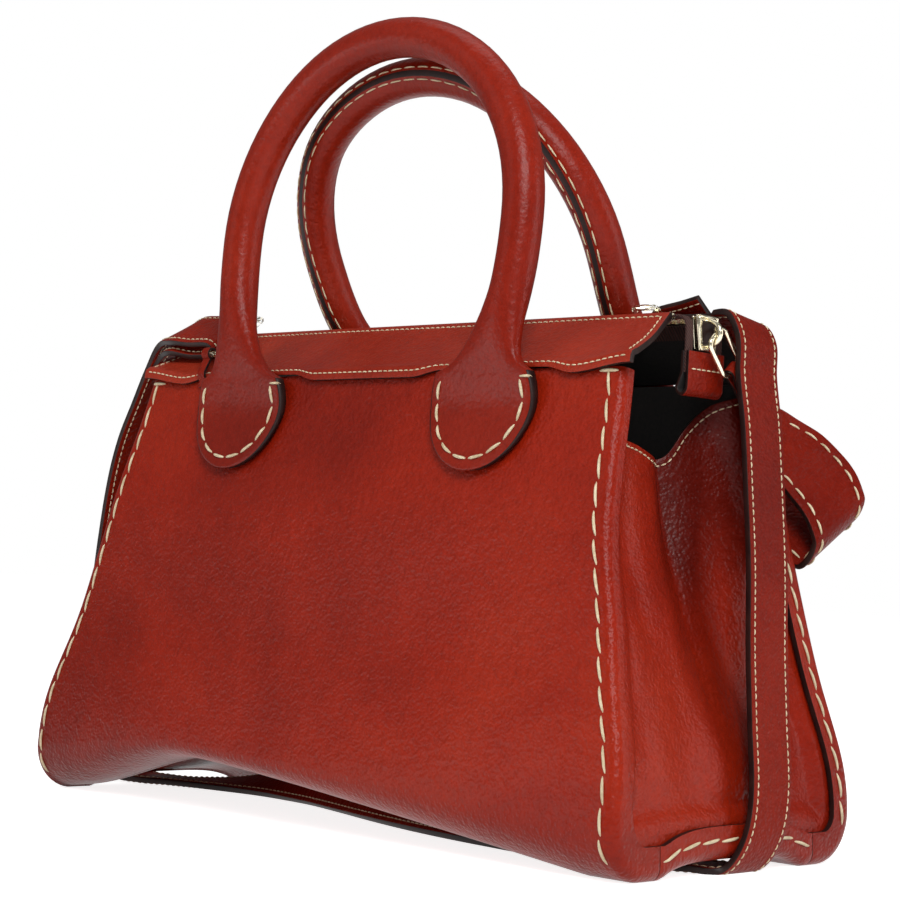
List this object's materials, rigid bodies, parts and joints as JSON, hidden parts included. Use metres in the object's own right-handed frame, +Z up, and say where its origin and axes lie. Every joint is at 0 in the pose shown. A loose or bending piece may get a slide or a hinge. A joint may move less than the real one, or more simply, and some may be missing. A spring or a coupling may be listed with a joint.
{
  "type": "leather handbag",
  "caption": "Flared leather satchel with rolled handles, an open zip top, a shoulder strap passing under its arched base and a wide loop behind one end",
  "frame": {"origin": "on the floor, under the middle of the outer box", "axes": "+X along the bag towards the zip slider, -Y the near side, +Z up"},
  "size_m": [0.3992, 0.1748, 0.3669],
  "materials": {
    "body_leather": "smooth fine-grained, satin",
    "yoke_leather": "smooth fine-grained, satin",
    "handle_leather": "smooth, satin, painted edges",
    "strap_leather": "fine-grained, satin, painted edges",
    "zip_tape_fabric": "woven",
    "board_brown": "matt fibre board",
    "core_cotton": "twisted cotton rope",
    "pale_gold": "polished"
  },
  "bodies": {
    "bag": {"near_panel": "body_leather", "far_panel": "body_leather", "base_panel": "body_leather", "left_gusset": "body_leather", "right_gusset": "body_leather", "base_board": "board_brown", "near_left_chape": "handle_leather", "near_right_chape": "handle_leather", "far_left_chape": "handle_leather", "far_right_chape": "handle_leather", "shoulder_strap": "strap_leather", "left_strap_ring": "pale_gold", "right_strap_ring": "pale_gold", "left_ring_tab": "strap_leather", "right_ring_tab": "strap_leather", "left_strap_stud": "pale_gold", "right_strap_stud": "pale_gold", "side_loop": "strap_leather"},
    "near_flap": {"near_yoke": "yoke_leather", "near_zip_tape": "zip_tape_fabric", "near_zip_teeth": "pale_gold"},
    "far_flap": {"far_yoke": "yoke_leather", "far_zip_tape": "zip_tape_fabric", "far_zip_teeth": "pale_gold", "zip_end_tape": "zip_tape_fabric", "zip_end_tab": "strap_leather"},
    "slider": {"zip_slider": "pale_gold"},
    "ring": {"puller_ring": "pale_gold"},
    "pull": {"leather_pull": "strap_leather"},
    "near_handle": {"near_handle_wrap": "handle_leather", "near_handle_core": "core_cotton"},
    "far_handle": {"far_handle_wrap": "handle_leather", "far_handle_core": "core_cotton"}
  },
  "joints": [
    {"name": "near_handle_tilt", "type": "hinge", "parent": "bag", "child": "near_handle", "pos_m": [0.00755, -0.05697, 0.2025], "axis": [1, 0, 0], "range_deg": [0, 85]},
    {"name": "far_handle_tilt", "type": "hinge", "parent": "bag", "child": "far_handle", "pos_m": [0.00755, 0.04263, 0.2025], "axis": [-1, 0, 0], "range_deg": [0, 100]},
    {"name": "near_top_close", "type": "hinge", "parent": "bag", "child": "near_flap", "pos_m": [0.00755, -0.05017, 0.205], "axis": [-1, 0, 0], "range_deg": [0, 23]},
    {"name": "far_top_close", "type": "hinge", "parent": "bag", "child": "far_flap", "pos_m": [0.00755, 0.03583, 0.205], "axis": [1, 0, 0], "range_deg": [0, 23]},
    {"name": "zip_run", "type": "slide", "parent": "far_flap", "child": "slider", "axis": [-1, 0, 0], "range_m": [0, 0.317]},
    {"name": "ring_swing", "type": "hinge", "parent": "slider", "child": "ring", "pos_m": [0.17145, -0.00717, 0.2209], "axis": [1, 0, 0], "range_deg": [-84, 0]},
    {"name": "pull_swing", "type": "hinge", "parent": "ring", "child": "pull", "pos_m": [0.17145, 0.00541, 0.20693], "axis": [0, -0.7431, -0.6691], "range_deg": [-15, 8]}
  ]
}
